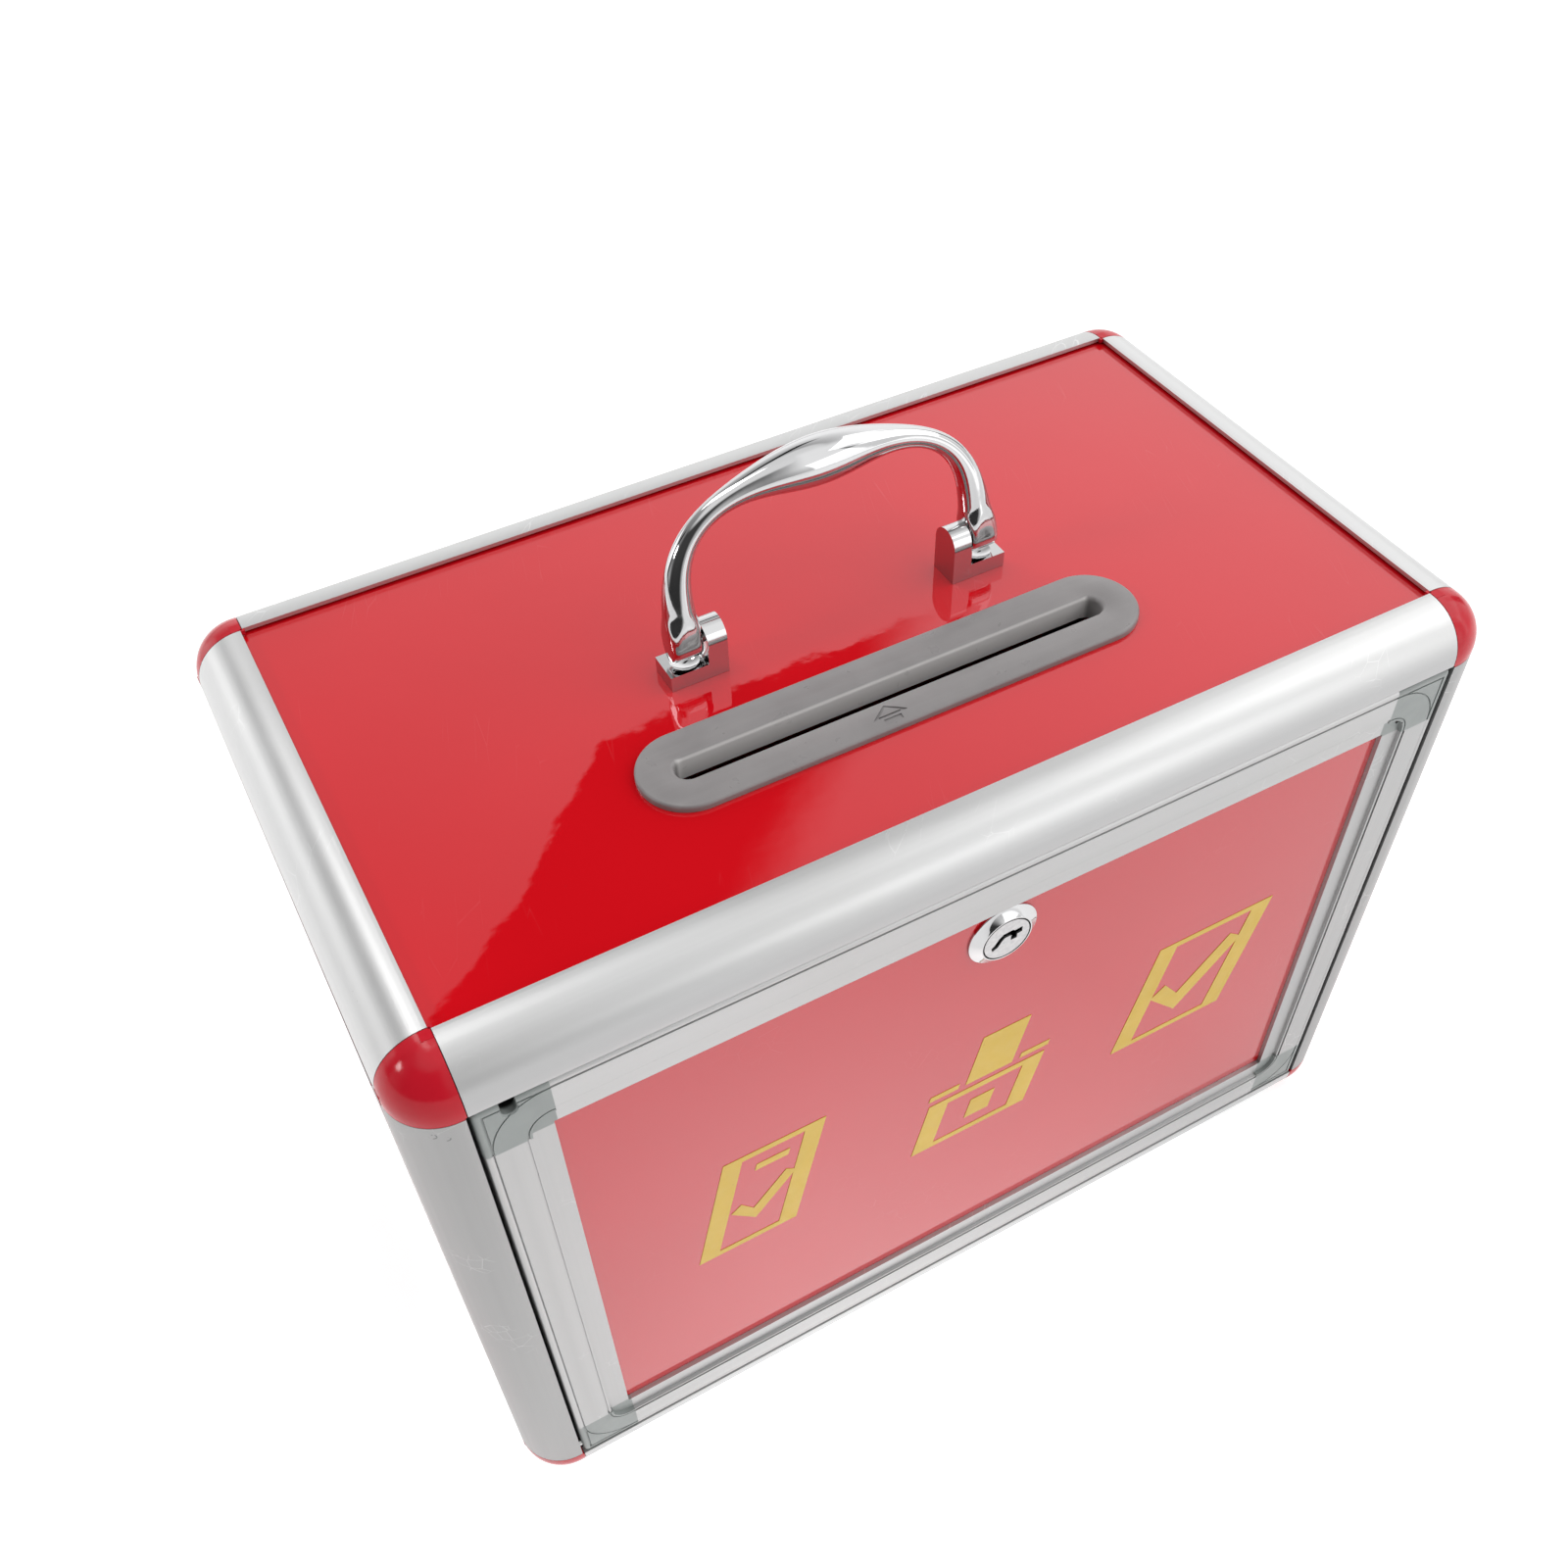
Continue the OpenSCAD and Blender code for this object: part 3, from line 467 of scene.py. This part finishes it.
# --------------------------------------------------------------- handle
def sweep_handle():
    """Chromed bail: a barrel-shaped grip that flows through slim shoulders into the legs."""
    a, b, n = 0.0510, 0.04076, 3.18
    rm, rs, rl, wx = 0.00729, 0.00203, 0.00583, 0.02463
    path = []
    # quarter of the superellipse by angle, from the top middle to the pivot
    steps = 96
    for i in range(steps + 1):
        t = math.pi / 2 * i / steps
        x = a * math.sin(t) ** (2 / n)
        h = b * math.cos(t) ** (2 / n) if i < steps else 0.0
        path.append((x, h))
    # even spacing along the curve
    d = [0.0]
    for p, q in zip(path, path[1:]):
        d.append(d[-1] + math.hypot(q[0] - p[0], q[1] - p[1]))
    total = d[-1]
    even = []
    count = 72
    j = 0
    for i in range(count + 1):
        s = total * i / count
        while j < len(d) - 2 and d[j + 1] < s:
            j += 1
        f = (s - d[j]) / max(d[j + 1] - d[j], 1e-9)
        even.append(((path[j][0] + (path[j + 1][0] - path[j][0]) * f), (path[j][1] + (path[j + 1][1] - path[j][1]) * f)))
    half = []
    for i, (x, h) in enumerate(even):
        if i == 0:
            tx, th = 1.0, 0.0
        elif i == count:
            tx, th = 0.0, -1.0
        else:
            tx, th = even[i + 1][0] - even[i - 1][0], even[i + 1][1] - even[i - 1][1]
            q = math.hypot(tx, th)
            tx, th = tx / q, th / q
        r = rs + (rm - rs) * math.exp(-(x / wx) ** 2) + (rl - rs) * (1 - h / b)
        foot = max(0.0, 1 - h / 0.010)
        foot = foot * foot * (3 - 2 * foot)
        half.append((x, h, tx, th, r * (1 - foot) + 0.0052 * foot, r * (1 - foot) + 0.0051 * foot, 2.0 + 2.6 * foot, 0.0004 * foot))
    # rounded end below the pivot
    for i in range(1, 11):
        ang = math.radians(8.6 * i)
        h = -0.0051 * math.sin(ang)
        wy = max(0.0051 * math.cos(ang), 0.0005)
        half.append((a, h, 0.0, -1.0, 0.0052 - 0.0004 * (i / 10) ** 3, wy, 4.6, 0.0004))
    rings = [(-x, h, -tx, th, w1, w2, e, -c) for x, h, tx, th, w1, w2, e, c in reversed(half[1:])] + half
    bm = bmesh.new()
    K = 48
    loops = []
    for x, h, tx, th, w1, w2, e, c in rings:
        # in-plane normal of the path, pointing outward from the middle of the bail
        nx, nh = -th, tx
        if x < 0:
            nx, nh = th, -tx
        ring = []
        for q in range(K):
            u = 2 * math.pi * q / K
            cu, su = math.cos(u), math.sin(u)
            pu = math.copysign(abs(cu) ** (2 / e), cu) * w1
            pv = math.copysign(abs(su) ** (2 / e), su) * w2
            X = x + c + nx * pu
            H = h + nh * pu
            ring.append(bm.verts.new((X, pv, H)))
        loops.append(ring)
    for r0, r1 in zip(loops, loops[1:]):
        for q in range(K):
            bm.faces.new((r0[q], r0[(q + 1) % K], r1[(q + 1) % K], r1[q]))
    for ring in (loops[0], loops[-1]):
        mid = bm.verts.new(sum((v.co for v in ring), Vector()) / K)
        for q in range(K):
            bm.faces.new((ring[q], ring[(q + 1) % K], mid))
    bmesh.ops.recalc_face_normals(bm, faces=bm.faces)
    me = bpy.data.meshes.new("bail_handle")
    bm.to_mesh(me)
    bm.free()
    for p in me.polygons:
        p.use_smooth = True
    o = bpy.data.objects.new("bail_handle", me)
    scene.collection.objects.link(o)
    me.transform(Matrix.Translation((0, 0, PIV)) @ Matrix.Rotation(-LEAN, 4, "X"))
    me.materials.append(chrome_mat)
    return o


handle = sweep_handle()
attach(handle, "handle_body")
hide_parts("handle")

# ------------------------------------------------------------ lock head
def arc(cx, cy, r, a0, a1, n):
    return [(cx + r * math.cos(math.radians(a0 + (a1 - a0) * i / n)), cy + r * math.sin(math.radians(a0 + (a1 - a0) * i / n))) for i in range(n + 1)]


def lathe_y(name, prof, x0, y0, z0, seg=160):
    """Turned piece about an axis along Y; prof is (radius, depth behind the panel face) in mm, closed."""
    bm = bmesh.new()
    rows = []
    for q in range(seg):
        a = 2 * math.pi * q / seg
        rows.append([bm.verts.new((x0 + rr * 0.001 * math.cos(a), y0 + yy * 0.001, z0 + rr * 0.001 * math.sin(a))) for rr, yy in prof])
    m_ = len(prof)
    for q in range(seg):
        p0, p1 = rows[q], rows[(q + 1) % seg]
        for i in range(m_):
            bm.faces.new((p0[i], p0[(i + 1) % m_], p1[(i + 1) % m_], p1[i]))
    bmesh.ops.recalc_face_normals(bm, faces=bm.faces)
    me_ = bpy.data.meshes.new(name)
    bm.to_mesh(me_)
    bm.free()
    me_.polygons.foreach_set("use_smooth", [True] * len(me_.polygons))
    me_.set_sharp_from_angle(angle=math.radians(38))
    o_ = bpy.data.objects.new(name, me_)
    scene.collection.objects.link(o_)
    return o_


LOCK = (0.0, -0.09885, 0.2144)
prof = [(8.05, 14.85), (8.05, -2.00), (8.40, -2.10), (8.40, -2.80)] + arc(8.48, -2.80, 0.08, 180, 270, 4)
prof += [(8.62, -2.88)] + arc(8.70, -2.58, 0.30, 270, 322, 6)
prof += [(9.25, -2.50), (11.70, -0.86)] + arc(11.72, -0.58, 0.27, 305, 360, 6)
prof += [(11.99, -0.12), (11.93, -0.05), (9.40, -0.05), (9.40, 14.75), (9.25, 14.88), (8.2, 14.88)]
head = lathe_y("lock_head", prof, *LOCK)
head.data.materials.append(chrome_mat)
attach(head, "door_body")
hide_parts("lock_housing")

# ---------------------------------------------------------------- stage
bm = bmesh.new()
S = 9.0
vs = [bm.verts.new(p) for p in ((-S, -S, -0.0004), (S, -S, -0.0004), (S, S, -0.0004), (-S, S, -0.0004))]
bm.faces.new(vs)
me = bpy.data.meshes.new("floor")
bm.to_mesh(me)
bm.free()
floor = bpy.data.objects.new("floor", me)
scene.collection.objects.link(floor)
k = Mat("floor_pale")
k.base(k.mix(k.maprange(k.noise(0.8, 2.0), 0.3, 0.7, 0.0, 1.0), (0.55, 0.55, 0.55), (0.57, 0.57, 0.57)))
k.rough(k.maprange(k.noise(3.0, 2.0), 0.3, 0.7, 0.55, 0.65))
k.set(IOR=1.3)
k.b.inputs["Emission Color"].default_value = (1, 1, 1, 1)
# painted light: the floor glows by itself like a light table, strongest in a pool in front of the door
near = k.n("ShaderNodeVectorMath", operation="DISTANCE")
k.link(k.co, near.inputs[0])
near.inputs[1].default_value = (-0.05, -0.128, 0.0)
k.link(k.maprange(near.outputs["Value"], 0.02, 0.19, 1.12, 0.64), k.b.inputs["Emission Strength"])
me.materials.append(k.m)


def area(name, size, power, loc, target, size_y=None):
    d = bpy.data.lights.new(name, "AREA")
    d.energy = power
    d.size = size
    if size_y:
        d.shape = "RECTANGLE"
        d.size_y = size_y
    o = bpy.data.objects.new(name, d)
    scene.collection.objects.link(o)
    o.location = loc
    o.rotation_euler = (Vector(target) - Vector(loc)).to_track_quat("-Z", "Y").to_euler()
    return o


area("soft_strip", 0.28, 5.4, (-0.38, 0.64, 1.78), (-0.16, -0.085, 0.25), 1.3)
area("soft_spot", 0.30, 4.6, (-1.60, 0.31, 1.07), (-0.16, -0.085, 0.25))
area("soft_key", 1.9, 6.5, (1.20, -1.45, 0.75), (0, 0, 0.15), 1.2)
area("soft_right", 1.4, 5.2, (1.25, -0.25, 1.35), (0.05, 0, 0.25), 1.0)
area("soft_back_left", 0.9, 2.8, (-1.35, 1.35, 0.60), (-0.16, 0, 0.25))

# studio surroundings: bright near the horizon and to the right, dimmer up
# above, with one dark slanting band up at the back such as a ceiling beam
w = bpy.data.worlds.new("studio")
scene.world = w
w.use_nodes = True
t = w.node_tree
t.nodes.clear()
out = t.nodes.new("ShaderNodeOutputWorld")
bg = t.nodes.new("ShaderNodeBackground")
t.links.new(bg.outputs[0], out.inputs[0])
tc = t.nodes.new("ShaderNodeTexCoord")
sep = t.nodes.new("ShaderNodeSeparateXYZ")
t.links.new(tc.outputs["Generated"], sep.inputs[0])
dx, dy, dz = sep.outputs[0], sep.outputs[1], sep.outputs[2]


def wmath(op, a, b=None, clamp=False):
    x = t.nodes.new("ShaderNodeMath")
    x.operation = op
    x.use_clamp = clamp
    for i, v in enumerate((a, b)):
        if v is None:
            continue
        if isinstance(v, (int, float)):
            x.inputs[i].default_value = v
        else:
            t.links.new(v, x.inputs[i])
    return x.outputs[0]


def wrange(v, a, b, c=0.0, d=1.0, smooth=True):
    x = t.nodes.new("ShaderNodeMapRange")
    if smooth:
        x.interpolation_type = "SMOOTHSTEP"
    for i, q in enumerate((a, b, c, d), 1):
        x.inputs[i].default_value = q
    t.links.new(v, x.inputs[0])
    return x.outputs[0]


# upper half at the back
level = wmath("ADD", wmath("ADD", wmath("MULTIPLY", dx, 0.95), wmath("MULTIPLY", dz, -1.6)), 1.68)
level = wmath("MINIMUM", wmath("MAXIMUM", level, wrange(dx, -0.70, -0.25, 0.30, 0.50)), 1.40)
level = wmath("MAXIMUM", level, wrange(dz, 0.82, 0.94, 0.0, 1.05))
# front half and below the horizon
frontal = wmath("MULTIPLY", wrange(dx, -0.14, 0.20, 0.06, 1.10), wrange(dz, 0.02, 0.50, 0.72, 1.16))
frontal = wmath("MAXIMUM", frontal, wrange(dz, 0.72, 0.90, 0.0, 1.10))
level = wmath("ADD", wmath("MULTIPLY", level, wrange(dy, -0.25, 0.15)), wmath("MULTIPLY", frontal, wrange(dy, -0.25, 0.15, 1.0, 0.0)))
low = wrange(dz, -0.05, 0.12)
level = wmath("ADD", wmath("MULTIPLY", level, low), wmath("MULTIPLY", frontal, wmath("SUBTRACT", 1.0, low)))
# the dark band, in the coordinates of a flat ceiling
inv = wmath("DIVIDE", 1.0, wmath("MAXIMUM", dz, 0.05))
u = wmath("MULTIPLY", dx, inv)
v = wmath("MULTIPLY", dy, inv)
l1 = wmath("ADD", wmath("MULTIPLY", u, 0.71), 0.7126)
l2 = wmath("ADD", wmath("MULTIPLY", u, 1.008), 0.6657)
edge = wmath("MINIMUM", wmath("MAXIMUM", l1, l2), 0.972)
crisp = wrange(wmath("SUBTRACT", edge, v), 0.0, 0.008)
soft = wrange(wmath("SUBTRACT", v, wmath("ADD", wmath("MULTIPLY", u, 0.80), 0.461)), -0.045, 0.045)
near = wrange(v, 0.30, 0.55)
dark = wmath("MULTIPLY", wmath("MULTIPLY", crisp, soft), wmath("MULTIPLY", near, wrange(dz, 0.05, 0.15)))
strength = wmath("MULTIPLY", level, wmath("SUBTRACT", 1.0, wmath("MULTIPLY", dark, 0.97)))
# narrow black flags standing around the set give the chrome its dark lines
az = wmath("ARCTAN2", dx, dy)
flags = None
for mid, half in ((-1.16, 0.12), (1.36, 0.10), (2.25, 0.12)):
    off = wmath("ABSOLUTE", wmath("SUBTRACT", az, mid))
    one = wrange(off, half * 0.75, half, 0.90, 0.0)
    flags = one if flags is None else wmath("MAXIMUM", flags, one)
flags = wmath("MULTIPLY", flags, wrange(dz, 0.72, 0.62, 0.0, 1.0))
strength = wmath("MULTIPLY", strength, wmath("SUBTRACT", 1.0, flags))
# seen directly, the surroundings are a plain white backdrop
seen = t.nodes.new("ShaderNodeLightPath").outputs["Is Camera Ray"]
strength = wmath("ADD", wmath("MULTIPLY", strength, wmath("SUBTRACT", 1.0, seen)), seen)
bg.inputs["Color"].default_value = (1, 1, 1, 1)
t.links.new(strength, bg.inputs["Strength"])

scene.view_settings.view_transform = "Standard"
scene.view_settings.look = "None"
scene.view_settings.exposure = 0.0
